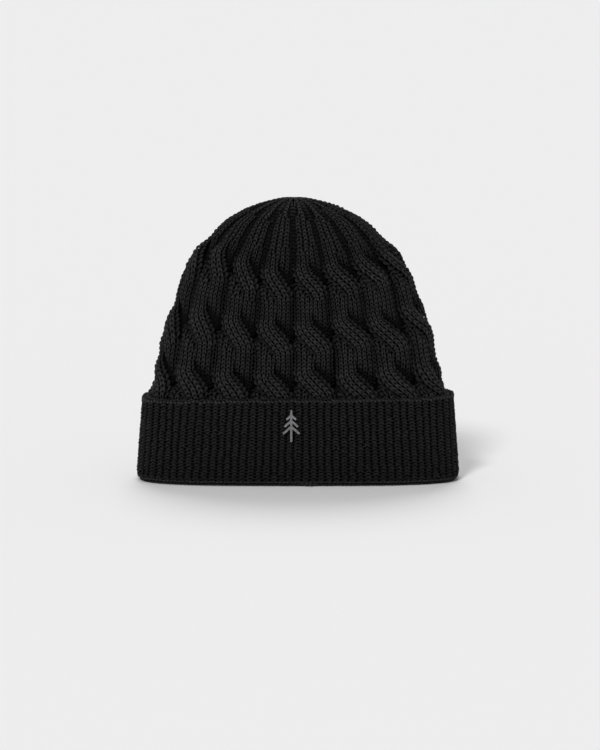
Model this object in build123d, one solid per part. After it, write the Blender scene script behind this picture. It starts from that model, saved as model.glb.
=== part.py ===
from build123d import *
import os
from math import cos, pi, sin

# A knit beanie: a cable-knit crown on a ribbed band, whose free end is turned up outside as a cuff.
# Millimetres, +Z up. It stands on the fold of its cuff with the opening down and the front towards -Y.
# The origin is the centre of the bottom face of its bounding box.

# ---- driving dimensions ----
CUFF_HEIGHT = 61.6            # fold to the top of the cuff's edge chain
CUFF_HALF_WIDTH = (115.0, 110.0)   # at the fold, at the top
CUFF_HALF_DEPTH = (38.0, 36.0)     # at the fold, at the top
RIB_THICKNESS = 3.5           # one layer of relaxed rib
FOLD_HEIGHT = 4.0             # the turn of the fabric at the rim
FOLD_ROUNDING = 2.6           # outer corner of the rim
EDGE_CHAIN_HEIGHT = 2.4       # the cast-on chain along the cuff's top
BAND_HALF_WIDTH = (108.5, 104.0)   # outer face of the inner layer, at the fold, at the crown join
BAND_HALF_DEPTH = (31.3, 30.6)
CROWN_BASE = 63.0             # height where the rib turns into cable knit
CROWN_TOP = 201.0
CROWN_HALF_WIDTH = 99.0
CROWN_FLARE = 5.0             # the crown spreads by this much to meet the band
FLARE_RISE = 0.08             # share of the crown's height that the flare takes
CROWN_FULLNESS = 2.1          # how round the crown is from the front, 2 being an ellipse
DEPTH_TAPER = 0.15            # share by which the crown gets thinner up to its top
DEPTH_ROUNDING = 6            # how late the crown's depth closes, seen from the side
CROWN_THICKNESS = 5.0         # mean of the cables and the grooves between them
SMALLEST_LEVEL = (1.5, 1.2)   # half width and half depth that a level never goes under
GATHER_RADIUS = 3.2           # the hole that the draw thread closes
GATHER_HOLE_DEPTH = 32.0      # more than the crown's wall, so that the hole goes through
THREAD_RADIUS = 0.9
THREAD_DROP = 6.0             # the draw thread lies this far under the crown's top
KNOT_RADIUS = 2.4
KNOT_DROP = 11.0
THREAD_END_LENGTH = 14.0
THREAD_END_TILT = 160         # degrees from straight up
SEAM_X = 8.0                  # the back seam is a little off the middle
SEAM_WIDTH = 5.0
SEAM_DEPTH = 1.8
SEAM_ENDS = (2.0, 18.0)       # the crown's seam stops this far from its base and its top
CUFF_SEAM_ENDS = (0.5, 1.0)
EMBLEM_CENTRE = (-4.6, 43.5)  # x and z on the front of the cuff
EMBLEM_HEIGHT = 22.6
EMBLEM_WIDTH = 12.0
EMBLEM_THICKNESS = 1.2
EMBLEM_STROKE = 1.5
NEEDLES = ((5.5, 1.0), (10.5, 0.8), (15.5, 0.55))   # root above the stem's foot, share of the full reach
NEEDLE_RISE = 0.9             # rise of a needle for its run
EMBLEM_STANDOFF = 1.0         # the ribs are proud of the wall's mean face
PRONG_SECTION = (1.3, 0.6)    # width and height of a prong
PRONG_SHEET = 0.5             # thickness of its bent end
PRONG_BEND = 3.2              # length of that end
PRONG_GAP = 0.2               # how much wider a prong's slot is
PRONG_HEIGHTS = (-8.0, -2.7, 2.7, 8.0)   # from the emblem's centre
BACKING_SIZE = (9.0, 22.6)
BACKING_THICKNESS = 0.8
BACKING_CORNER = 2.5
LABEL_X = -12.0
LABEL_WIDTH = 24.0
LABEL_LENGTH = 30.0
LABEL_SHEET = 0.4
LABEL_GAP = 0.8               # between the label's two layers
LABEL_STITCHES = 7
STITCH_PITCH = 3.4
STITCH_SIZE = (1.9, 0.6, 0.6)
STITCH_ROUNDING = 0.25
STITCH_DROP = 2.2             # under the label's top edge
CLEARANCE = 0.15

# ---- derived places ----
WALL_TOP = CUFF_HEIGHT - EDGE_CHAIN_HEIGHT
FLAT_EXPONENT = 3.2           # how square a level section of the cuff is, 2 being an ellipse
SECTION_POINTS = 40
CROWN_LEVELS = [0.0, 0.03, 0.07, 0.13, 0.25, 0.38, 0.5, 0.61, 0.71, 0.8, 0.87, 0.925, 0.965, 0.99]


def between(ends, share):
    """The value that lies share of the way from the first of two ends to the second."""
    return ends[0] + (ends[1] - ends[0]) * share


def level_section(half_width, half_depth, z, exponent=FLAT_EXPONENT):
    """A closed superellipse at height z."""
    points = []
    for step in range(SECTION_POINTS):
        angle = 2 * pi * step / SECTION_POINTS
        c = cos(angle)
        s = sin(angle)
        x = half_width * abs(c) ** (2 / exponent) * (1 if c >= 0 else -1)
        y = half_depth * abs(s) ** (2 / exponent) * (1 if s >= 0 else -1)
        points.append((x, y, z))
    return make_face(Wire(Spline(*points, periodic=True)))


def cuff_level(z, inset=0.0):
    """A level section of the cuff, drawn in by inset from its outer face."""
    share = z / CUFF_HEIGHT
    return level_section(between(CUFF_HALF_WIDTH, share) - inset, between(CUFF_HALF_DEPTH, share) - inset, z)


def band_level(z, inset=0.0):
    """A level section of the inner rib layer."""
    share = z / CROWN_BASE
    return level_section(between(BAND_HALF_WIDTH, share) - inset, between(BAND_HALF_DEPTH, share) - inset, z)


def crown_size(rise):
    """Half width, half depth and squareness of the crown at a share of its height."""
    flare = CROWN_FLARE * max(1 - rise / FLARE_RISE, 0) ** 2
    half_width = CROWN_HALF_WIDTH * (1 - rise ** 2) ** (1 / CROWN_FULLNESS) + flare
    half_depth = BAND_HALF_DEPTH[1] * (1 - DEPTH_TAPER * rise) * (1 - rise ** DEPTH_ROUNDING) ** 0.5
    return half_width, half_depth, FLAT_EXPONENT - 1.0 * rise


def crown_level(rise, inset=0.0):
    """A level section of the crown, drawn in and down by inset from its outer face."""
    half_width, half_depth, exponent = crown_size(rise)
    z = CROWN_BASE + (CROWN_TOP - CROWN_BASE - inset) * rise
    half_width = max(half_width - inset, SMALLEST_LEVEL[0])
    half_depth = max(half_depth - inset, SMALLEST_LEVEL[1])
    return level_section(half_width, half_depth, z, exponent)


def tube(level, heights, thickness):
    """A wall of the given thickness whose outer face runs through the sections level(z)."""
    outer = loft([level(z) for z in heights])
    return outer - loft([level(z, thickness) for z in heights])


def crown_solid(inset):
    """The space inside a face that lies inset behind the crown's outer face."""
    return loft([crown_level(rise, inset) for rise in CROWN_LEVELS])


def make_cable_knit_crown():
    shell = crown_solid(0.0) - crown_solid(CROWN_THICKNESS)
    gather_hole = Pos(0, 0, CROWN_TOP) * Cylinder(GATHER_RADIUS, 2 * GATHER_HOLE_DEPTH)
    return shell - gather_hole


def make_rib_inner_band():
    return tube(band_level, [FOLD_HEIGHT, CROWN_BASE], RIB_THICKNESS)


def make_rib_turn_up(prong_gaps):
    wall = tube(cuff_level, [FOLD_HEIGHT, WALL_TOP], RIB_THICKNESS)
    rim = loft([cuff_level(0.0, FOLD_ROUNDING), cuff_level(FOLD_ROUNDING * 0.3, FOLD_ROUNDING * 0.3),
                cuff_level(FOLD_HEIGHT)])
    rim -= extrude(level_section(BAND_HALF_WIDTH[0] - RIB_THICKNESS, BAND_HALF_DEPTH[0] - RIB_THICKNESS, -1.0),
                   FOLD_HEIGHT + 2)
    return wall + rim - prong_gaps


def make_cuff_edge_chain():
    return tube(cuff_level, [WALL_TOP, CUFF_HEIGHT], RIB_THICKNESS * 0.8)


def make_crown_draw_thread():
    return Pos(0, 0, CROWN_TOP - THREAD_DROP) * Torus(GATHER_RADIUS - THREAD_RADIUS - CLEARANCE, THREAD_RADIUS)


def make_crown_thread_knot():
    """The knot under the gather, with its two short ends."""
    centre = Pos(0, 0, CROWN_TOP - KNOT_DROP)
    end = Pos(0, 0, THREAD_END_LENGTH / 2) * Cylinder(THREAD_RADIUS * 0.8, THREAD_END_LENGTH)
    knot = centre * Sphere(KNOT_RADIUS)
    for side in (-1, 1):
        knot += centre * Rot(0, side * THREAD_END_TILT, 0) * end
    return knot


def seam_slab(bottom, top):
    """The slice of space at the back that holds the seam."""
    deep = 2 * CUFF_HALF_DEPTH[0]
    return Pos(SEAM_X, deep / 2, (bottom + top) / 2) * Box(SEAM_WIDTH, deep, top - bottom)


def make_crown_back_seam():
    """The linked seam inside the back of the crown, a ridge that lies against the inner face."""
    ridge = crown_solid(CROWN_THICKNESS + CLEARANCE) - crown_solid(CROWN_THICKNESS + CLEARANCE + SEAM_DEPTH)
    return ridge & seam_slab(CROWN_BASE + SEAM_ENDS[0], CROWN_TOP - SEAM_ENDS[1])


def make_cuff_back_seam():
    """The seam of the turn-up, between its two layers."""
    inset = RIB_THICKNESS + CLEARANCE
    heights = [FOLD_HEIGHT + CUFF_SEAM_ENDS[0], WALL_TOP - CUFF_SEAM_ENDS[1]]
    layer = tube(lambda z, more=0.0: cuff_level(z, inset + more), heights, SEAM_DEPTH * 0.8)
    return layer & seam_slab(0, CUFF_HEIGHT)


def emblem_stroke(start, end):
    """A round-ended bar between two points of the emblem's face."""
    middle = ((start[0] + end[0]) / 2, (start[1] + end[1]) / 2)
    run = Vector(end[0] - start[0], end[1] - start[1])
    bar = SlotCenterToCenter(run.length, EMBLEM_STROKE)
    return Pos(*middle) * Rot(0, 0, Vector(1, 0).get_signed_angle(run)) * bar


def make_emblem_plate(face_y):
    """A small openwork fir sprig: a stem with three pairs of rising needles."""
    half = EMBLEM_HEIGHT / 2 - EMBLEM_STROKE / 2
    sprig = emblem_stroke((0, -half), (0, half))
    reach = EMBLEM_WIDTH / 2 - EMBLEM_STROKE / 2
    for height, share in NEEDLES:
        root = height - half
        for side in (-1, 1):
            sprig += emblem_stroke((0, root), (side * reach * share, root + reach * share * NEEDLE_RISE))
    plate = extrude(sprig, EMBLEM_THICKNESS)
    return Pos(EMBLEM_CENTRE[0], face_y, EMBLEM_CENTRE[1]) * Rot(90, 0, 0) * plate


def make_prongs(back_y, end_y, gap=0.0):
    """Flat prongs through the cuff's outer layer; with no gap asked for, each has its bent end."""
    width, height = PRONG_SECTION
    prongs = []
    for index, rise in enumerate(PRONG_HEIGHTS):
        x = EMBLEM_CENTRE[0]
        z = EMBLEM_CENTRE[1] + rise
        stem = Pos(x, (back_y + end_y) / 2, z) * Box(width + gap, end_y - back_y, height + gap)
        if not gap:
            side = 1 if index % 2 else -1
            end = Box(PRONG_BEND, PRONG_SHEET, height)
            stem += Pos(x + side * PRONG_BEND / 2, end_y - PRONG_SHEET / 2, z) * end
        prongs.append(stem)
    return prongs


def make_emblem_backing(front_y, gaps):
    """The rounded plate behind the cuff's outer layer, with a slot for each prong."""
    plate = extrude(RectangleRounded(*BACKING_SIZE, BACKING_CORNER), BACKING_THICKNESS)
    place = Pos(EMBLEM_CENTRE[0], front_y + BACKING_THICKNESS, EMBLEM_CENTRE[1])
    return place * Rot(90, 0, 0) * plate - gaps


def make_care_label(back_y, top_z):
    """A blank woven strip folded double, hanging by its two ends."""
    depth = LABEL_GAP + 2 * LABEL_SHEET
    sheet = Box(LABEL_WIDTH, LABEL_SHEET, LABEL_LENGTH)
    back = Pos(LABEL_X, back_y - LABEL_SHEET / 2, top_z - LABEL_LENGTH / 2) * sheet
    front = Pos(0, LABEL_SHEET - depth, 0) * back
    fold = Pos(LABEL_X, back_y - depth / 2, top_z - LABEL_LENGTH) * Box(LABEL_WIDTH, depth, LABEL_SHEET)
    return back + front + fold


def make_label_stitches(front_y, top_z):
    """Short stitches side by side over the label's top edge."""
    bar = fillet(Box(*STITCH_SIZE).edges(), STITCH_ROUNDING)
    first = LABEL_X - (LABEL_STITCHES - 1) / 2 * STITCH_PITCH
    return [Pos(first + step * STITCH_PITCH, front_y, top_z - STITCH_DROP) * bar for step in range(LABEL_STITCHES)]


# ---- places that pieces share ----
cuff_front = -between(CUFF_HALF_DEPTH, EMBLEM_CENTRE[1] / CUFF_HEIGHT)
emblem_back = cuff_front - EMBLEM_STANDOFF
emblem_top = EMBLEM_CENTRE[1] + EMBLEM_HEIGHT / 2
backing_front = CLEARANCE + RIB_THICKNESS - between(CUFF_HALF_DEPTH, emblem_top / CUFF_HEIGHT)
prong_end = backing_front + BACKING_THICKNESS + PRONG_SHEET + 0.05
prong_gaps = make_prongs(emblem_back - 0.5, prong_end + 0.5, gap=PRONG_GAP)
label_back = BAND_HALF_DEPTH[1] - RIB_THICKNESS - 0.3
label_front = label_back - LABEL_GAP - 2 * LABEL_SHEET
label_top = CROWN_BASE - 2.0

pieces = {
    "cable_knit_crown": make_cable_knit_crown(),
    "rib_inner_band": make_rib_inner_band(),
    "rib_turn_up": make_rib_turn_up(prong_gaps),
    "cuff_edge_chain": make_cuff_edge_chain(),
    "crown_draw_thread": make_crown_draw_thread(),
    "crown_thread_knot": make_crown_thread_knot(),
    "crown_back_seam": make_crown_back_seam(),
    "cuff_back_seam": make_cuff_back_seam(),
    "emblem_plate": make_emblem_plate(emblem_back),
    "emblem_prongs": Compound(children=make_prongs(emblem_back, prong_end)),
    "emblem_backing_plate": make_emblem_backing(backing_front, prong_gaps),
    "care_label": make_care_label(label_back, label_top),
    "care_label_stitches": Compound(children=make_label_stitches(label_front - STITCH_SIZE[1] / 2, label_top)),
}

os.makedirs("parts", exist_ok=True)
for name, shape in pieces.items():
    export_step(shape, f"parts/{name}.step")
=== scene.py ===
"""Knit beanie: yarn-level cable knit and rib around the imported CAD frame.

Lengths are worked in millimetres and turned into metres when a mesh is made.
"""
from math import cos, pi, radians, sin

import bpy
import numpy as np
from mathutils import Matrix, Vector


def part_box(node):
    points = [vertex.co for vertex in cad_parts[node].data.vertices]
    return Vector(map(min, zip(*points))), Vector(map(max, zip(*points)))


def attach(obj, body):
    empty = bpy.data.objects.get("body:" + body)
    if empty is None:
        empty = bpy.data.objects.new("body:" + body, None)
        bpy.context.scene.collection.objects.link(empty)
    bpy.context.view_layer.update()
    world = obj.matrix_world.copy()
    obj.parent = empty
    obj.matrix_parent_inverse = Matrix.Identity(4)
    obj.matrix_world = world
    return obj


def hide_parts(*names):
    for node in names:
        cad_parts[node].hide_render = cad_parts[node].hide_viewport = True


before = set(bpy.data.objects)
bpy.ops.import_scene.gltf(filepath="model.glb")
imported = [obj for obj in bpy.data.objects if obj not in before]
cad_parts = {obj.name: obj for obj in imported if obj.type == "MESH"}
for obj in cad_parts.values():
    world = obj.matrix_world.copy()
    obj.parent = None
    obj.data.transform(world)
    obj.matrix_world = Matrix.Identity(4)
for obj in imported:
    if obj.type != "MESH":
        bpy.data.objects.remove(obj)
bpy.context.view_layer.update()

MM = 0.001
rng = np.random.default_rng(11)

# ---- sizes, from the frame where it has them ----
crown_low, crown_high = (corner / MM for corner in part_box("cable_knit_crown"))
cuff_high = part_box("rib_turn_up")[1] / MM
chain_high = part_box("cuff_edge_chain")[1] / MM
band_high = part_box("rib_inner_band")[1] / MM

CUFF_HALF_WIDTH = (cuff_high.x, chain_high.x)   # at the fold, at the top
CUFF_HALF_DEPTH = (cuff_high.y, chain_high.y)
CUFF_TOP = chain_high.z
BAND_HALF_WIDTH = (band_high.x, crown_high.x)
BAND_HALF_DEPTH = (band_high.y, crown_high.y)
CROWN_BASE = crown_low.z
CROWN_TOP = crown_high.z + 0.2     # the CAD crown ends at its gather
CROWN_HALF_WIDTH = 99.0     # without its flare
CROWN_FLARE = BAND_HALF_WIDTH[1] - CROWN_HALF_WIDTH   # the crown spreads to meet the band
FLARE_RISE = 0.08           # share of the crown's height that the flare takes
CROWN_ROUNDING = 2.1        # of its outline from the front, 2 being an ellipse
DEPTH_ROUNDING = 6          # of its outline from the side
DEPTH_TAPER = 0.15          # the crown is thinner near its top by this share
SQUARENESS = 3.2            # of a level section, 2 being an ellipse
GATHER_START = 0.955        # share of the way up at which the dimple of the gather starts
DIMPLE_DEPTH = 3.6          # of the gather
SIDES_IN = (0.034, 121.0, 11.0)     # share drawn in, height and reach, between the upper crossings
SHOULDERS_OUT = (0.03, 186.0, 7.0)  # the same for the fuller shoulders
OUTER_INSET = 1.9           # the yarn's middle inside the face of the cuff's outer layer
INNER_INSET = 2.0           # and of its inner layer
FOLD_TOP = 5.6              # height at which the layers start to turn
FOLD_LOW = 3.5              # height of the yarn's middle at the bottom of the fold
EDGE_DROP = 1.6             # the outer layer's stitches end this far below the chain's top
CUFF_DIP = 2.4              # the turned-up edge sits lower by this much at the -X end

# ---- knitting facts ----
CABLES = 16                 # around the crown
COURSES = 56                # from the band to the gather
BELOW = 6.0                 # length of crown that goes down behind the cuff's edge
BELOW_COURSES = 2
GROOVE = 1.4                # purl gap between two cables
CROSSINGS = (6.5, 40.5, 79.5)   # up the crown's front, where strands cross
WALES = (4, 3, 2, 1)        # in a strand, from the band to the gather
NARROW_AT = (0.78, 0.58, 0.36)  # a strand loses a wale where the girth falls to these shares
WAIST = 1.5                 # how far the crossings pull the cloth in
WAIST_REACH = 9.0
CROWN_SINK = 1.2            # the yarn's middle lies this far inside the CAD face
CROWN_LEAN = -2.6           # the gather sits this far to one side
RIBS = 96
CUFF_COURSES = 26           # on the outer layer
FIRST_CABLE_X = -3.0        # the groove nearest the middle of the front
RIB_FILL = 0.59             # share of a rib's pitch that its stitches take
RIB_PIECES = 12
CUFF_GROUND = (1.35, 2.1)   # depths of the cloth wall's two faces behind the cuff's yarn
CROWN_GROUND = (1.9, 2.7)   # and behind the crown's
SEAM_X = 8.0                # where the rim's ends meet

# ---- a strand between crossings ----
SWELL = 0.6                 # a cable's middle stands out by this
EDGE_FALL = 1.7             # its edges lie lower than its middle
EDGE_FALL_MORE = 7.0        # and lower still towards the gather
SPLIT = 0.7                 # depth of the furrow between its two strands
SPLIT_REACH = 0.2           # in half widths of the cable
OUTERMOST = 1.03            # how far across a strand may reach, in the same measure
THINNEST = 0.7              # smallest half width of a cable
WANDER = 0.03               # how far a cable strays from its column, in cables
WANDER_RATE = 0.035         # in radians for each millimetre up the crown

# ---- what differs from one cable to the next ----
CROSSING_SHIFT = 1.5        # standard deviation, up or down
RELIEF = (0.88, 1.08)       # least and greatest share of a crossing's full height
STAGGER = 2                 # courses by which a strand narrows early or late

# ---- a strand at a crossing; lengths along it are from the crossing's middle ----
OVER_RUN = 20.5             # length over which the upper strand changes sides
UNDER_RUN = 7.0             # the lower strand changes sides faster, out of sight
SPREAD = 0.8                # the lower strand is wider there by this share
SPREAD_REACH = 4.5
RISE_START = -15.0          # the upper strand rises from here
RISE_RUN = 11.5
FALL_END = 16.0             # and is down again here
FALL_RUN = 12.5
OVER_HEIGHT = 4.2
OVER_ROUNDING = 5.2         # how much lower its two edges are
UNDER_DEPTH = 4.6
UNDER_ROUNDING = 0.8
COVER_MIDDLE = 7.5          # the upper strand's slanting upper edge, at the cable's middle
COVER_SLANT = 12.0          # and how far it drops in half a cable's width
SHOW_MIDDLE = -8.0          # the same for its lower edge, where the lower strand shows again
SHOW_SLANT = 18.5
DIVE_START = 14.0           # the lower strand goes down from here above the upper edge
DIVE_RUN = 10.0
CLIMB_END = 6.5             # and comes up again by here below the lower edge
CLIMB_RUN = 3.5
SHOULDER = 1.5              # it bulges just below that
SHOULDER_BELOW = 11.0
SHOULDER_REACH = 4.0

# ---- painted shade: how much darker the yarn's colour is made in hollows ----
SHADE_LEVEL = 1.06          # at the cloth's own height
SHADE_SLOPE = 0.19          # for each millimetre up or down
SHADE_LIMITS = (0.07, 1.28)
CREST_GAIN = 0.72           # a stitch's own hollows against its top
CREST_POWER = 1.7


def smooth(t):
    t = np.clip(t, 0.0, 1.0)
    return t * t * (3.0 - 2.0 * t)


def smooth_slope(t):
    t = np.clip(t, 0.0, 1.0)
    return 6.0 * t * (1.0 - t)


def bell(value, middle, reach):
    return np.exp(-((value - middle) / reach) ** 2)


def between(ends, share):
    return ends[0] + (ends[1] - ends[0]) * share


def ring(half_width, half_depth, z, squareness, lean, count):
    """Equally spaced points of a level section, from the middle of the front towards +X."""
    angle = np.linspace(-0.5 * pi, 1.5 * pi, 6001)
    c = np.cos(angle)
    s = np.sin(angle)
    x = half_width * np.sign(c) * np.abs(c) ** (2 / squareness)
    y = half_depth * np.sign(s) * np.abs(s) ** (2 / squareness)
    run = np.concatenate([[0.0], np.cumsum(np.hypot(np.diff(x), np.diff(y)))])
    want = np.arange(count) / count * run[-1]
    points = np.empty((count, 3))
    points[:, 0] = np.interp(want, run, x) + lean
    points[:, 1] = np.interp(want, run, y)
    points[:, 2] = z
    return points, run[-1]


class Tube:
    """A closed tube of cloth, looked up by shares around it and along it."""

    def __init__(self, levels, around=1200, along=360, settle=None):
        rings = [ring(*level, around) for level in levels]
        grid = np.stack([r[0] for r in rings])
        if settle is not None:
            grid = settle(grid)
        run = np.zeros(grid.shape[:2])
        run[1:] = np.cumsum(np.linalg.norm(np.diff(grid, axis=0), axis=2), axis=0)
        self.lengths = run[-1]
        share = np.linspace(0, 1, along + 1)
        self.points = np.empty((along + 1, around, 3))
        for i in range(around):
            have = run[:, i] / run[-1, i]
            for axis in range(3):
                self.points[:, i, axis] = np.interp(share, have, grid[:, i, axis])
        across = np.roll(self.points, -1, axis=1) - self.points
        self.girth = np.linalg.norm(across, axis=2).sum(axis=1)
        wide = np.roll(self.points, -4, axis=1) - np.roll(self.points, 4, axis=1)
        up = np.gradient(self.points, axis=0)
        normal = np.cross(wide, up)
        self.normals = normal / np.maximum(np.linalg.norm(normal, axis=2, keepdims=True), 1e-9)
        self.around = around
        self.along = along

    def _mix(self, grid, around, along):
        i = np.mod(around, 1.0) * self.around
        j = np.clip(along, 0.0, 1.0) * self.along
        i0 = np.floor(i).astype(int)
        j0 = np.minimum(np.floor(j).astype(int), self.along - 1)
        fi = (i - i0)[..., None]
        fj = (j - j0)[..., None]
        i0 %= self.around
        i1 = (i0 + 1) % self.around
        low = grid[j0, i0] * (1 - fi) + grid[j0, i1] * fi
        high = grid[j0 + 1, i0] * (1 - fi) + grid[j0 + 1, i1] * fi
        return low * (1 - fj) + high * fj

    def at(self, around, along, lift):
        point = self._mix(self.points, around, along)
        normal = self._mix(self.normals, around, along)
        return point + normal * np.asarray(lift)[..., None]

    def girth_at(self, along):
        return np.interp(np.clip(along, 0, 1), np.linspace(0, 1, self.along + 1), self.girth)


# ---- the crown and the cuff as smooth tubes ----
def crown_level(rise):
    flare = CROWN_FLARE * max(1 - max(rise, 0.0) / FLARE_RISE, 0.0) ** 2
    half_width = CROWN_HALF_WIDTH * max(1 - rise ** 2, 0.0) ** (1 / CROWN_ROUNDING) + flare
    rounded = max(1 - rise ** DEPTH_ROUNDING, 0.0) ** 0.5
    half_depth = BAND_HALF_DEPTH[1] * (1 - DEPTH_TAPER * rise) * rounded
    z = CROWN_BASE + (CROWN_TOP - CROWN_BASE) * rise
    return half_width, half_depth, z, SQUARENESS - max(rise, 0.0), CROWN_LEAN * max(rise, 0.0) ** 2


def crown_levels():
    """Up the crown, with more levels near its top, and down into the dimple at the gather."""
    levels = [crown_level(-BELOW / (CROWN_TOP - CROWN_BASE))]
    levels += [crown_level(1 - (1 - t) ** 2.2) for t in np.linspace(0, GATHER_START, 150)]
    last_width, last_depth, last_z, last_square, last_lean = levels[-1]
    for t in np.linspace(0.1, 1, 10):
        half_width = between((last_width, 1.1), t)
        half_depth = between((last_depth, 1.0), t)
        z = last_z + 0.3 * sin(pi * t * 0.6) - DIMPLE_DEPTH * t ** 2
        levels.append((half_width, half_depth, z, last_square, last_lean))
    return levels


def inner_halves(share):
    """Half width and half depth of the inner layer's yarn, at a share of the band's height."""
    return [between(ends, share) - INNER_INSET for ends in (BAND_HALF_WIDTH, BAND_HALF_DEPTH)]


def outer_halves(share):
    """The same for the outer layer, at a share of the cuff's height."""
    return [between(ends, share) - OUTER_INSET for ends in (CUFF_HALF_WIDTH, CUFF_HALF_DEPTH)]


def cuff_levels():
    """Down the inner layer, round the fold, and up the outer layer."""
    fold_top_share = FOLD_TOP / CUFF_TOP
    levels = []
    for share in np.linspace((CROWN_BASE - BELOW) / CROWN_BASE, fold_top_share, 30):
        levels.append((*inner_halves(share), CROWN_BASE * share, SQUARENESS, 0.0))
    across_fold = list(zip(inner_halves(fold_top_share), outer_halves(fold_top_share)))
    for angle in np.linspace(0, pi, 18)[1:-1]:
        halves = [between(ends, (1 - cos(angle)) / 2) for ends in across_fold]
        levels.append((*halves, FOLD_TOP - (FOLD_TOP - FOLD_LOW) * sin(angle), SQUARENESS, 0.0))
    for share in np.linspace(fold_top_share, 1, 40):
        levels.append((*outer_halves(share), (CUFF_TOP - EDGE_DROP) * share, SQUARENESS, 0.0))
    return levels


def edge_levels():
    """The cast-on chain, over the top edge of the cuff from its outer side to its inner side."""
    levels = []
    for inset, drop in ((1.3, 2.6), (1.5, 1.4), (2.2, 0.7), (3.2, 0.9), (4.0, 2.0)):
        half_width = CUFF_HALF_WIDTH[1] - inset
        levels.append((half_width, CUFF_HALF_DEPTH[1] - inset, CUFF_TOP - drop, SQUARENESS, 0.0))
    return levels


def rim_levels():
    """The row of small loops under the ends of the ribs."""
    levels = []
    for inset, z in ((4.2, 1.7), (3.2, 2.0), (2.5, 2.9), (2.2, 4.0)):
        levels.append((CUFF_HALF_WIDTH[0] - inset, CUFF_HALF_DEPTH[0] - inset, z, SQUARENESS, 0.0))
    return levels


def settle_crown(grid):
    """The sides draw in between the two upper rows of crossings, and the shoulders are fuller."""
    z = grid[..., 2]
    drawn_in = SIDES_IN[0] * bell(z, *SIDES_IN[1:])
    pushed_out = SHOULDERS_OUT[0] * bell(z, *SHOULDERS_OUT[1:])
    grid[..., 0] *= 1 - drawn_in + pushed_out
    return grid


def settle_cuff(grid):
    """The turned-up edge sits a little lower at the -X end."""
    share = np.clip(grid[..., 2] / CUFF_TOP, 0, 1)
    grid[..., 2] -= CUFF_DIP * share ** 2 * smooth((-grid[..., 0] - 25.0) / 80.0)
    return grid


crown = Tube(crown_levels(), settle=settle_crown)
cuff = Tube(cuff_levels(), settle=settle_cuff)
edge = Tube(edge_levels(), along=24, settle=settle_cuff)
rim = Tube(rim_levels(), along=24)
BAND_GIRTH = crown.girth_at(0.0)
CROWN_RUN = crown.lengths[0] - BELOW     # up the middle of the front, band to gather


def crown_share(v):
    """The share along the crown's tube of a place v millimetres above the band."""
    return (v + BELOW) / (CROWN_RUN + BELOW)


# ---- knit stitches ----
def stitch_template(sides, rings):
    """One knit stitch as two leaning legs in a unit cell: its points as across, along, height in yarn
    radii, and the two offsets of the yarn's skin; how near each point is to the yarn's top, which sets
    the painted shade in its colour; its faces; and their UVs."""
    foot_gap = 0.055        # from the wale's middle to a leg's foot
    reach = 0.295           # how far the leg leans out
    tuck = 0.07             # how far its head turns in again
    tuck_start = 0.76
    foot = -0.30            # the leg starts this far below its course
    length = 1.36
    margin = 0.04           # round each leg's patch of the layout
    verts = []
    crest = []
    faces = []
    uvs = []
    for side in (-1, 1):
        start = len(verts)
        for k in range(rings):
            t = (k + 0.5) / rings
            turned_in = tuck * max(t - tuck_start, 0.0) / (1 - tuck_start)
            a = 0.5 + side * (foot_gap + reach * sin(0.5 * pi * min(t * 1.5, 1.0)) - turned_in)
            b = foot + length * t
            height = -1.05 + 2.1 * sin(pi * (0.05 + 0.90 * t)) ** 0.9
            size = 0.62 + 0.38 * sin(pi * t) ** 0.7
            for m in range(sides):
                turn = 2 * pi * m / sides
                verts.append((a, b, height, size * cos(turn), size * sin(turn)))
                # painted shade: a point's share of light, by how near the top of the yarn it sits
                crest.append(min(max((height + size * sin(turn) + 0.9) / 2.9, 0.0), 1.0))
        left = margin / 2 + (0.0 if side < 0 else 0.5)
        across = left + (0.5 - margin) * np.arange(sides + 1) / sides
        up = margin + (1 - 2 * margin) * np.arange(rings) / (rings - 1)
        for k in range(rings - 1):
            for m in range(sides):
                n = (m + 1) % sides
                low = start + k * sides
                high = low + sides
                faces.append((low + m, low + n, high + n, high + m))
                corners = ((m, k), (m + 1, k), (m + 1, k + 1), (m, k + 1))
                uvs.append(tuple((across[i], up[j]) for i, j in corners))
        for k, order in ((0, range(sides - 1, -1, -1)), (rings - 1, range(sides))):
            faces.append(tuple(start + k * sides + m for m in order))
            uvs.append(tuple((across[m], up[k]) for m in order))
    return np.array(verts), np.array(crest), faces, uvs


def frame_at(surface, a, b, step=0.06):
    """Place, unit normal, unit across direction and width of one wale at (a, b) of a surface."""
    point = surface(a, b)
    across = (surface(a + step, b) - surface(a - step, b)) / (2 * step)
    along = (surface(a, b + step) - surface(a, b - step)) / (2 * step)
    normal = np.cross(across, along)
    normal /= np.maximum(np.linalg.norm(normal, axis=-1, keepdims=True), 1e-9)
    width = np.linalg.norm(across, axis=-1)
    return point, normal, across / np.maximum(width, 1e-9)[..., None], width


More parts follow.
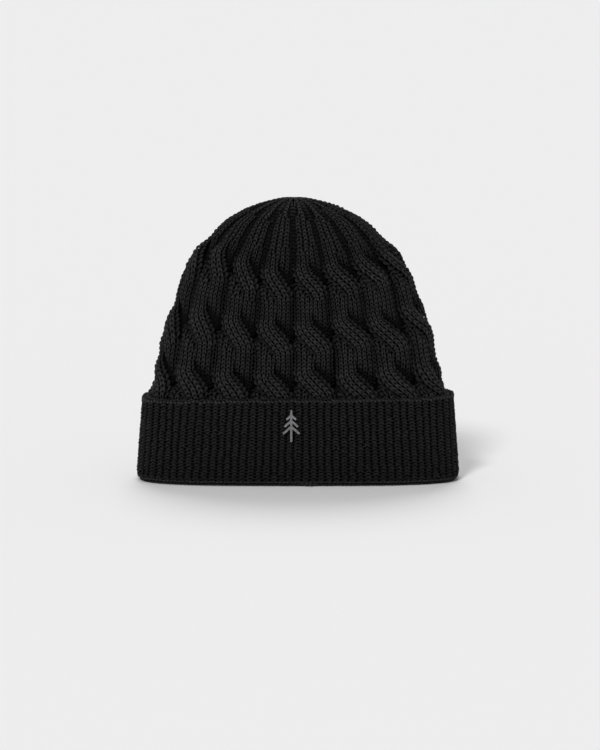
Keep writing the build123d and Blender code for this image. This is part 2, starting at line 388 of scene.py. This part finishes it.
class Yarn:
    """Collects stitches and makes one mesh of them."""

    def __init__(self):
        self.points = []
        self.crests = []
        self.faces = []
        self.uvs = []
        self.count = 0

    def knit(self, surface, wales, courses, template, fullness=0.19, first=0, height=None):
        """Stitches in every cell of surface(a, b), a over the wales and b over the courses.
        height(a, b) is how far the surface stands out; the stitches' colour gets painted shade where it
        lies low, since hollows catch less light."""
        verts, crest, faces, uvs = template
        i, j = np.meshgrid(np.arange(wales), np.arange(first, first + courses), indexing="ij")
        i = i.reshape(-1, 1)
        j = j.reshape(-1, 1)
        cells = i.shape[0]
        sway = rng.normal(0, 0.035, (cells, 1))
        tilt = rng.normal(0, 0.04, (cells, 1))
        swell = 1 + rng.normal(0, 0.06, (cells, 1))
        a = i + verts[:, 0][None] + sway
        b = j + verts[:, 1][None] + tilt * (verts[:, 0][None] - 0.5) * 4
        point, normal, across, width = frame_at(surface, a, b)
        radius = np.clip(fullness * width * swell, 0.32, 1.3)[..., None]
        out = verts[:, 2][None, :, None] + verts[:, 4][None, :, None]
        side = verts[:, 3][None, :, None]
        placed = point + radius * (normal * out + across * side)
        self.points.append(placed.reshape(-1, 3))
        # colour factor of each stitch: a random tone, times painted shade where the surface lies low,
        # times painted shade in the stitch's own hollows
        shade = np.clip(rng.normal(1.0, 0.10, (cells, 1)), 0.7, 1.3)
        if height is not None:
            shade = shade * np.clip(SHADE_LEVEL + SHADE_SLOPE * height(a, b), *SHADE_LIMITS)
        self.crests.append((CREST_GAIN * crest[None] ** CREST_POWER * shade).reshape(-1))
        per = verts.shape[0]
        offsets = self.count + np.arange(cells) * per
        tile = np.stack([rng.integers(0, 4, cells), rng.integers(0, 4, cells)], 1)[:, None, None]
        for corners in (4, 0):
            chosen = [n for n, face in enumerate(faces) if (len(face) == 4) == (corners == 4)]
            ids = np.array([faces[n] for n in chosen])
            spots = np.array([uvs[n] for n in chosen])
            self.faces.append((ids[None] + offsets[:, None, None]).reshape(-1, ids.shape[1]))
            self.uvs.append(((spots[None] + tile) / 4.0 * (1.0, 0.95)).reshape(-1, 2))
        self.count += cells * per

    def back(self, surface, wales, first, courses, depth=1.0, skirt=4.5):
        """The purl side behind the stitches, as a plain strip that follows the surface and turns
        inwards at its two edges. It lies shallower where the wales are narrow."""
        full_width = 3.0
        rows = 2 * courses
        spots = np.concatenate([[0.06], np.linspace(0.14, wales - 0.14, 2 * wales + 1), [wales - 0.06]])
        depths = np.full((1, len(spots), 1), depth)
        depths[0, [0, -1]] = skirt
        a, b = np.meshgrid(spots, np.linspace(first, first + courses, rows + 1))
        point, normal, _, width = frame_at(surface, a, b)
        depths = depths * np.clip((width / full_width) ** 1.5, 0.04, 1.0)[..., None]
        self.points.append((point - depths * normal).reshape(-1, 3))
        # painted shade: the purl strip takes the yarn's darkest colour, as the gaps between stitches lie
        # in shade
        self.crests.append(np.zeros(a.size))
        columns = a.shape[1]
        low = self.count + (np.arange(rows)[:, None] * columns + np.arange(columns - 1)[None]).reshape(-1)
        self.faces.append(np.stack([low, low + 1, low + 1 + columns, low + columns], 1))
        across = (a - a.min()) / np.ptp(a)
        up = 0.965 + 0.03 * (b - b.min()) / np.ptp(b)
        spot = np.stack([across, up], -1).reshape(-1, 2)
        self.uvs.append(spot[self.faces[-1].reshape(-1) - self.count])
        self.count += a.size

    def make(self, name, material):
        points = np.concatenate(self.points) * MM
        sizes = np.concatenate([np.full(len(f), f.shape[1]) for f in self.faces])
        corners = np.concatenate([f.reshape(-1) for f in self.faces])
        starts = np.concatenate([[0], np.cumsum(sizes)[:-1]])
        mesh = bpy.data.meshes.new(name)
        mesh.vertices.add(len(points))
        mesh.vertices.foreach_set("co", points.reshape(-1).astype(np.float32))
        mesh.loops.add(len(corners))
        mesh.loops.foreach_set("vertex_index", corners.astype(np.int32))
        mesh.polygons.add(len(sizes))
        mesh.polygons.foreach_set("loop_start", starts.astype(np.int32))
        mesh.polygons.foreach_set("use_smooth", np.ones(len(sizes), dtype=bool))
        mesh.update(calc_edges=True)
        # painted shade and random tone, stored on the points to set the yarn's colour
        painted_shade_and_tone = mesh.attributes.new("painted_shade_and_tone", "FLOAT", "POINT")
        painted_shade_and_tone.data.foreach_set("value", np.concatenate(self.crests).astype(np.float32))
        layout = mesh.uv_layers.new(name="OFBake")
        layout.uv.foreach_set("vector", np.concatenate(self.uvs).reshape(-1).astype(np.float32))
        mesh.materials.append(material)
        piece = bpy.data.objects.new(name, mesh)
        bpy.context.scene.collection.objects.link(piece)
        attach(piece, "root")
        return piece


# ---- materials ----
def new_material(name):
    material = bpy.data.materials.new(name)
    material.use_nodes = True
    nodes = material.node_tree.nodes
    return material, nodes, material.node_tree.links, nodes["Principled BSDF"]


def yarn_material(name, dark, light, painted_shade_and_tone=True):
    """Spun black yarn, fuzzy, with painted shade in its colour: nearly black in its hollows and paler
    where it stands out.
    """
    material, nodes, links, shader = new_material(name)
    place = nodes.new("ShaderNodeTexCoord")
    tone = nodes.new("ShaderNodeTexNoise")
    tone.inputs["Scale"].default_value = 1100.0
    tone.inputs["Detail"].default_value = 3.0
    links.new(place.outputs["Object"], tone.inputs["Vector"])
    ramp = nodes.new("ShaderNodeValToRGB")
    ramp.color_ramp.elements[0].position = 0.04
    ramp.color_ramp.elements[0].color = (*dark, 1)
    ramp.color_ramp.elements[1].position = 0.95
    ramp.color_ramp.elements[1].color = (*light, 1)
    if painted_shade_and_tone:
        # the stored painted shade and random tone set how pale the colour is
        crest = nodes.new("ShaderNodeAttribute")
        crest.attribute_name = "painted_shade_and_tone"
        spread = nodes.new("ShaderNodeMath")
        spread.operation = "ADD"
        links.new(tone.outputs["Fac"], spread.inputs[0])
        spread.inputs[1].default_value = 0.5
        blend = nodes.new("ShaderNodeMath")
        blend.operation = "MULTIPLY"
        links.new(crest.outputs["Fac"], blend.inputs[0])
        links.new(spread.outputs["Value"], blend.inputs[1])
        links.new(blend.outputs["Value"], ramp.inputs["Fac"])
    else:
        links.new(tone.outputs["Fac"], ramp.inputs["Fac"])
    links.new(ramp.outputs["Color"], shader.inputs["Base Color"])
    fibres = nodes.new("ShaderNodeTexNoise")
    fibres.inputs["Scale"].default_value = 2600.0
    fibres.inputs["Detail"].default_value = 2.0
    bump = nodes.new("ShaderNodeBump")
    bump.inputs["Strength"].default_value = 0.35
    bump.inputs["Distance"].default_value = 0.0003
    links.new(place.outputs["Object"], fibres.inputs["Vector"])
    links.new(fibres.outputs["Fac"], bump.inputs["Height"])
    links.new(bump.outputs["Normal"], shader.inputs["Normal"])
    shader.inputs["Roughness"].default_value = 0.8
    shader.inputs["Specular IOR Level"].default_value = 0.08
    shader.inputs["Sheen Weight"].default_value = 0.04
    shader.inputs["Sheen Roughness"].default_value = 0.5
    return material


def metal_material(name, dark, light, roughness):
    material, nodes, links, shader = new_material(name)
    place = nodes.new("ShaderNodeTexCoord")
    grain = nodes.new("ShaderNodeTexNoise")
    grain.inputs["Scale"].default_value = 700.0
    grain.inputs["Detail"].default_value = 4.0
    ramp = nodes.new("ShaderNodeValToRGB")
    ramp.color_ramp.elements[0].position = 0.35
    ramp.color_ramp.elements[0].color = (*dark, 1)
    ramp.color_ramp.elements[1].position = 0.7
    ramp.color_ramp.elements[1].color = (*light, 1)
    links.new(place.outputs["Object"], grain.inputs["Vector"])
    links.new(grain.outputs["Fac"], ramp.inputs["Fac"])
    links.new(ramp.outputs["Color"], shader.inputs["Base Color"])
    shader.inputs["Metallic"].default_value = 0.85
    shader.inputs["Roughness"].default_value = roughness
    return material


def satin_material(name, colour):
    material, nodes, links, shader = new_material(name)
    place = nodes.new("ShaderNodeTexCoord")
    weave = nodes.new("ShaderNodeTexWave")
    weave.bands_direction = "Z"
    weave.inputs["Scale"].default_value = 900.0
    ramp = nodes.new("ShaderNodeValToRGB")
    ramp.color_ramp.elements[0].color = (*[0.8 * c for c in colour], 1)
    ramp.color_ramp.elements[1].color = (*colour, 1)
    links.new(place.outputs["Object"], weave.inputs["Vector"])
    links.new(weave.outputs["Fac"], ramp.inputs["Fac"])
    links.new(ramp.outputs["Color"], shader.inputs["Base Color"])
    shader.inputs["Roughness"].default_value = 0.4
    return material


black_yarn = yarn_material("black_yarn", (0.0005, 0.0005, 0.0006), (0.030, 0.030, 0.031))
# painted light: the same black yarn made paler for the edge and rim loops
lit_edge_yarn = yarn_material("lit_edge_yarn", (0.0006, 0.0006, 0.0007), (0.036, 0.036, 0.037))
# painted shade: the purl cloth under the stitches gets a far darker copy of the black yarn
shaded_ground_yarn = yarn_material("shaded_ground_yarn", (0.0006, 0.0006, 0.0007), (0.0022, 0.0022, 0.0023), painted_shade_and_tone=False)
seam_yarn = yarn_material("seam_yarn", (0.003, 0.003, 0.003), (0.016, 0.016, 0.017), painted_shade_and_tone=False)
gunmetal = metal_material("gunmetal", (0.15, 0.15, 0.155), (0.26, 0.26, 0.27), 0.5)
steel = metal_material("plain_steel", (0.42, 0.42, 0.42), (0.55, 0.55, 0.56), 0.35)
satin = satin_material("white_satin", (0.75, 0.74, 0.72))

knit_template = stitch_template(8, 7)
small_template = stitch_template(6, 5)


# ---- the crown's cables ----
def strand_path(v, strand, shifts):
    """How a strand runs at places v along the cable: its middle across the cable, from -1 to 1; its
    slope; how far it is spread; and its crossings, as number, place and whether it goes over."""
    side = 1.0 if strand == 0 else -1.0
    centre = np.full_like(v, 0.5 * side)
    slope = np.zeros_like(v)
    spread = np.zeros_like(v)
    crossings = []
    for number, middle in enumerate(CROSSINGS):
        at = middle + shifts[number]
        goes_over = side > 0
        run = OVER_RUN if goes_over else UNDER_RUN
        t = (v - at) / run + 0.5
        centre = centre - side * smooth(t)
        slope = slope - side * smooth_slope(t) / run
        if not goes_over:
            spread = spread + bell(v, at, SPREAD_REACH)
        crossings.append((number, at, goes_over))
        side = -side
    return centre, slope, spread, crossings


def crossing_shares(v, x, crossings, relief):
    """How far a strand is over and under another at (x, v), and how far it bulges beside one."""
    over = np.zeros_like(v)
    under = np.zeros_like(v)
    shoulder = np.zeros_like(v)
    for number, at, goes_over in crossings:
        if goes_over:
            rise = smooth((v - at - RISE_START) / RISE_RUN) * smooth((at + FALL_END - v) / FALL_RUN)
            over = over + relief[number] * rise
        else:
            upper_edge = at + COVER_MIDDLE - COVER_SLANT * x
            lower_edge = at + SHOW_MIDDLE - SHOW_SLANT * x
            dive = smooth((upper_edge + DIVE_START - v) / DIVE_RUN)
            climb = smooth((v - lower_edge + CLIMB_END) / CLIMB_RUN)
            under = under + relief[number] * dive * climb
            bulge = bell(v, lower_edge - SHOULDER_BELOW, SHOULDER_REACH)
            shoulder = shoulder + SHOULDER * bulge * smooth(-2 * x)
    return np.clip(over, 0, 1.15), np.clip(under, 0, 1.1), shoulder


def strand_surface(cable, strand, wales, shifts, relief):
    """A strand of a cable: surface(a, b) with a across its wales and b along its courses, and the
    height that sets the painted shade and painted light in its colour."""
    def place_at(a, b):
        q = 2 * a / wales - 1
        v = b / COURSES * CROWN_RUN
        half = np.maximum((crown.girth_at(crown_share(v)) / CABLES - GROOVE) / 2, THINNEST)
        small = half / (BAND_GIRTH / CABLES / 2)        # falls from 1 towards 0 at the gather
        centre, slope, spread, crossings = strand_path(v, strand, shifts)
        waist = sum(bell(v, at, WAIST_REACH) for _, at, _ in crossings)
        lean = np.where(spread > 0.3, 0.0, slope * half)
        turn = 0.75 * lean / np.sqrt(1 + lean ** 2)
        squeeze = 1 - 0.4 * (1 - 1 / np.sqrt(1 + lean ** 2)) + SPREAD * spread
        x = np.clip(centre + 0.5 * q * squeeze, -OUTERMOST, OUTERMOST)
        over, under, shoulder = crossing_shares(v, x, crossings, relief)
        v = v - 0.5 * q * half * turn
        edge_fall = EDGE_FALL + EDGE_FALL_MORE * (1 - small)
        flat = SWELL + shoulder - edge_fall * np.abs(x) ** 2.6 - SPLIT * bell(x, 0.0, SPLIT_REACH)
        raised = OVER_HEIGHT - OVER_ROUNDING * np.abs(q) ** 2.4
        sunk = -UNDER_DEPTH - UNDER_ROUNDING * np.abs(q) ** 4
        rest = np.clip(1 - over - under, 0, 1)
        held = smooth((v + 5.0) / 8.0)                  # the cuff holds the lowest crossings flat
        crossed = (raised * over + sunk * under) * (0.25 + 0.75 * held) * small ** 0.5
        lift = flat * rest * small ** 0.25 + crossed
        lift = lift - CROWN_SINK - WAIST * waist * small + 0.5 * small
        lift = lift * np.clip(small / 0.2 - 0.2, 0.05, 1.0)
        sway = wander[cable] * np.sin(v * WANDER_RATE + cable)
        place = cable + 0.5 + sway + x * half / (half * 2 + GROOVE)
        around = place / CABLES + FIRST_CABLE_X / BAND_GIRTH
        return around, crown_share(v), lift

    def surface(a, b):
        return crown.at(*place_at(a, b))

    def height(a, b):
        _, along, lift = place_at(a, b)
        # painted light: the upper crown's colour made paler, on top of painted shade in its hollows
        painted_top_light = 1.3 * smooth((along - 0.62) / 0.25)
        return np.minimum(1.35 * lift, 0.6 * lift) + 0.3 + painted_top_light

    return surface, height


def course_where(girth_share):
    """The course above which the crown's girth is under a share of its girth at the band."""
    heights = np.arange(COURSES + 1) / COURSES * CROWN_RUN
    return int(np.argmax(crown.girth_at(crown_share(heights)) / BAND_GIRTH < girth_share))


wander = rng.normal(0, WANDER, CABLES)
narrowing = np.array([course_where(share) for share in NARROW_AT])
for cable in range(CABLES):
    shifts = rng.normal(0, CROSSING_SHIFT, len(CROSSINGS))
    relief = rng.uniform(*RELIEF, len(CROSSINGS))
    yarn = Yarn()
    for strand in (0, 1):
        stagger = rng.integers(-STAGGER, STAGGER + 1, len(narrowing))
        starts = [-BELOW_COURSES, *(int(course) for course in narrowing + stagger), COURSES - 1]
        for zone, wales in enumerate(WALES):
            surface, height = strand_surface(cable, strand, wales, shifts, relief)
            first = starts[zone]
            courses = starts[zone + 1] - first
            yarn.knit(surface, wales, courses, knit_template, first=first, height=height)
            yarn.back(surface, wales, first, courses)
    yarn.make(f"cable_{cable + 1:02d}", black_yarn)


# ---- sheets of cloth under the stitches ----
def sheet_mesh(name, outer, inner, around, along, material, slot):
    """A closed wall between surfaces outer(u, s) and inner(u, s), u around and s along."""
    u, s = np.meshgrid(np.arange(around) / around, np.linspace(0, 1, along + 1), indexing="xy")
    points = np.concatenate([outer(u, s).reshape(-1, 3), inner(u, s).reshape(-1, 3)]) * MM
    faces = []
    skip = around * (along + 1)
    for j in range(along):
        row = np.arange(around)
        nxt = (row + 1) % around
        low = j * around
        high = low + around
        faces.append(np.stack([low + row, low + nxt, high + nxt, high + row], 1))
        faces.append(np.stack([low + row, high + row, high + nxt, low + nxt], 1) + skip)
    row = np.arange(around)
    nxt = (row + 1) % around
    top = along * around
    faces.append(np.stack([row, row + skip, nxt + skip, nxt], 1))
    faces.append(np.stack([top + row, top + nxt, top + nxt + skip, top + row + skip], 1))
    faces = np.concatenate(faces)
    mesh = bpy.data.meshes.new(name)
    mesh.from_pydata(points.tolist(), [], faces.tolist())
    mesh.polygons.foreach_set("use_smooth", np.ones(len(faces), dtype=bool))
    mesh.materials.append(material)
    layout = mesh.uv_layers.new(name="OFBake")
    ids = np.empty(len(mesh.loops), dtype=np.int32)
    mesh.loops.foreach_get("vertex_index", ids)
    turn_share = np.tile(u.reshape(-1), 2)[ids]
    first_share = np.repeat(turn_share.reshape(-1, 4).max(axis=1), 4)
    turn_share = np.where((first_share > 0.9) & (turn_share < 0.1), 1.0, turn_share)
    rise_share = np.concatenate([s.reshape(-1) * 0.48, 0.52 + s.reshape(-1) * 0.48])[ids]
    layout.uv.foreach_set("vector", np.stack([turn_share, rise_share], 1).reshape(-1).astype(np.float32))
    piece = bpy.data.objects.new(name, mesh)
    bpy.context.scene.collection.objects.link(piece)
    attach(piece, "root")
    return piece


def crown_ground(depth):
    """The purl cloth behind the cables, which dips where a strand goes under another."""
    dip_above = 3.6         # right of the cable's middle, above the upper strand
    dip_below = 3.2         # left of it, below the upper strand
    dip_between = 3.0       # between two cables

    def surface(u, s):
        v = s * (CROWN_RUN + BELOW) - BELOW
        small = crown.girth_at(s) / BAND_GIRTH
        x = 2 * np.mod((u - FIRST_CABLE_X / BAND_GIRTH) * CABLES, 1.0) - 1
        drop = dip_between * np.abs(x) ** 4
        for middle in CROSSINGS:
            drop = drop + WAIST * bell(v, middle, WAIST_REACH)
            above = smooth((middle + 18.0 - 11.0 * x - v) / 12.0) * smooth((v - middle + 7.0) / 6.0)
            below = smooth((v - middle + 14.0 + 11.0 * x) / 5.0) * smooth((middle + 6.0 - v) / 6.0)
            drop = drop + dip_above * above * smooth(2.2 * x + 0.6)
            drop = drop + dip_below * below * smooth(0.6 - 2.2 * x)
        near_gather = np.clip((1 - s) / 0.06, 0.15, 1.0)
        return crown.at(u, s, -CROWN_SINK - (depth + drop) * small ** 0.35 * near_gather)
    return surface


def cuff_ground(depth):
    """The cloth behind the ribs, which lies closer to them at the fold."""
    def surface(u, s):
        return cuff.at(u, s, -depth * (1 - 0.55 * bell(s, fold_share, 0.035)))
    return surface


fold_share = np.argmin(cuff.points[:, 0, 2]) / cuff.along
crown_faces = [crown_ground(depth) for depth in CROWN_GROUND]
crown_sheet = sheet_mesh("crown_ground", *crown_faces, 420, 112, shaded_ground_yarn, "black_cable_knit")
cuff_faces = [cuff_ground(depth) for depth in CUFF_GROUND]
cuff_sheet = sheet_mesh("cuff_ground", *cuff_faces, 480, 100, shaded_ground_yarn, "black_rib_knit")


# ---- the cuff's ribs ----
def rib_surface(rib, courses):
    """A rib as surface(a, b), from the inner layer's top round the fold to the outer layer's top,
    and the height that sets the painted shade in its colour."""
    skew = 0.12 + 0.22 * sin(2 * pi * rib * 3 / RIBS + pi)
    lean = rng.normal(0, 0.04)
    phase = rng.uniform(0, 2 * pi)

    def outer_share(b):
        return np.clip((b / courses - fold_share) / (1 - fold_share), 0, 1)

    def place_at(a, b):
        q = 2 * a - 1
        rise = outer_share(b)
        drift = lean * np.sin(phase + b * 0.16) + skew * (rise - 0.5)
        drift = drift + 0.10 * np.sin(0.9 * rib + 1.3) * np.sin(pi * rise)
        around = (rib + 0.5 + drift + 0.5 * q * RIB_FILL) / RIBS
        lift = (0.9 - 2.3 * np.abs(q) ** 2.2) * (0.6 + 0.4 * smooth(rise * 14))
        return around, b / courses, lift

    def surface(a, b):
        return cuff.at(*place_at(a, b))

    def height(a, b):
        # painted shade: the cuff's lower part made darker, as it gets less light
        painted_shade_foot = 0.9 * (1 - smooth(outer_share(b) * 1.8))
        return 2.1 * place_at(a, b)[2] - 1.4 - painted_shade_foot

    return surface, height


cuff_courses = round(CUFF_COURSES / (1 - fold_share))
for part in range(RIB_PIECES):
    yarn = Yarn()
    for rib in range(part * RIBS // RIB_PIECES, (part + 1) * RIBS // RIB_PIECES):
        surface, height = rib_surface(rib, cuff_courses)
        yarn.knit(surface, 1, cuff_courses, knit_template, height=height)
        yarn.back(surface, 1, 0, cuff_courses, depth=0.8, skirt=2.2)
    yarn.make(f"cuff_ribs_{part + 1:02d}", black_yarn)


def chain_surface(tube, loops, low, high, lift):
    """A row of loops that lies along a narrow tube, as surface(a, b)."""
    def surface(a, b):
        return tube.at(b / loops, high - (high - low) * a, np.full_like(a, lift))
    return surface


yarn = Yarn()
yarn.knit(chain_surface(edge, 2 * RIBS, 0.05, 0.95, 0.1), 1, 2 * RIBS, small_template, fullness=0.21)
yarn.make("cuff_edge_loops", lit_edge_yarn)
yarn = Yarn()
yarn.knit(chain_surface(rim, 2 * RIBS, 0.0, 1.0, 0.0), 1, 2 * RIBS, small_template, fullness=0.2)
yarn.make("cuff_rim_loops", lit_edge_yarn)


def knot_surface(a, b):
    """A small bunched place, 12 mm wide, where the two ends of the edge are joined at the rim."""
    x = SEAM_X - 6.0 + 3.0 * b
    bulge = np.sin(pi * np.clip(b / 4, 0, 1))
    y = -CUFF_HALF_DEPTH[0] + 3.2 - 1.2 * bulge
    z = 3.0 - 2.0 * a + 0.4 * np.sin(2.1 * b)
    return np.stack([x, y + 0.5 * a, z], -1)


yarn = Yarn()
yarn.knit(knot_surface, 1, 4, small_template, fullness=0.3)
yarn.make("rim_seam_end", lit_edge_yarn)


# ---- CAD pieces ----
finishes = {
    "emblem_plate": gunmetal,
    "emblem_prongs": gunmetal,
    "emblem_backing_plate": steel,
    "care_label": satin,
    "care_label_stitches": seam_yarn,
    "crown_draw_thread": seam_yarn,
    "crown_thread_knot": seam_yarn,
    "crown_back_seam": seam_yarn,
    "cuff_back_seam": seam_yarn,
}
for node, material in finishes.items():
    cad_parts[node].data.materials.clear()
    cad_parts[node].data.materials.append(material)
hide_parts("cable_knit_crown")
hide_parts("rib_turn_up", "rib_inner_band", "cuff_edge_chain")

# ---- stage, in metres ----
FLOOR_REACH = 40
floor_mesh = bpy.data.meshes.new("floor")
floor_corners = [(x * FLOOR_REACH, y * FLOOR_REACH, 0) for x, y in ((-1, -1), (1, -1), (1, 1), (-1, 1))]
floor_mesh.from_pydata(floor_corners, [], [(0, 1, 2, 3)])
floor = bpy.data.objects.new("floor", floor_mesh)
floor_material, _, _, floor_shader = new_material("pale_floor")
floor_shader.inputs["Base Color"].default_value = (0.86, 0.86, 0.86, 1)
floor_shader.inputs["Roughness"].default_value = 0.9
floor_shader.inputs["Specular IOR Level"].default_value = 0.0
floor_mesh.materials.append(floor_material)
bpy.context.scene.collection.objects.link(floor)

world = bpy.data.worlds.new("studio")
bpy.context.scene.world = world
world.use_nodes = True
sky_nodes = world.node_tree.nodes
sky_links = world.node_tree.links
sky_place = sky_nodes.new("ShaderNodeTexCoord")
sky_height = sky_nodes.new("ShaderNodeSeparateXYZ")
sky_tone = sky_nodes.new("ShaderNodeValToRGB")
sky_tone.color_ramp.elements[0].position = 0.10
sky_tone.color_ramp.elements[0].color = (0.84, 0.84, 0.84, 1)   # as pale as the floor, at the horizon
sky_tone.color_ramp.elements[1].position = 0.24
sky_tone.color_ramp.elements[1].color = (0.29, 0.29, 0.29, 1)
sky_links.new(sky_place.outputs["Generated"], sky_height.inputs["Vector"])
sky_links.new(sky_height.outputs["Z"], sky_tone.inputs["Fac"])
sky_links.new(sky_tone.outputs["Color"], sky_nodes["Background"].inputs["Color"])
bpy.context.scene.view_settings.view_transform = "Standard"


def sun_light(name, energy, spread, elevation, azimuth):
    """A soft sun; azimuth 0 shines from the front, 90 from +X, 180 from behind."""
    data = bpy.data.lights.new(name, "SUN")
    data.energy = energy
    data.angle = radians(spread)
    light = bpy.data.objects.new(name, data)
    light.rotation_euler = (radians(90 - elevation), 0, radians(azimuth))
    bpy.context.scene.collection.objects.link(light)


sun_light("overhead_behind", 1.23, 30, 56, 180)
sun_light("key_front_left", 1.76, 12, 40, -20)

# ---- camera ----
ELEVATION = radians(8.6)
DISTANCE = 2.6
VIEW_WIDTH = 0.4246         # what the picture spans at the hat
SENSOR_WIDTH = 36.0
camera_data = bpy.data.cameras.new("camera")
camera = bpy.data.objects.new("camera", camera_data)
bpy.context.scene.collection.objects.link(camera)
bpy.context.scene.camera = camera
camera_data.sensor_fit = "HORIZONTAL"
camera_data.sensor_width = SENSOR_WIDTH
camera_data.lens = SENSOR_WIDTH * DISTANCE / VIEW_WIDTH
aim = Vector((0.0015, 0.0, 0.0738))
camera.location = aim + Vector((0, -DISTANCE * cos(ELEVATION), DISTANCE * sin(ELEVATION)))
camera.rotation_euler = (pi / 2 - ELEVATION, 0, 0)
camera_data.clip_end = 200.0
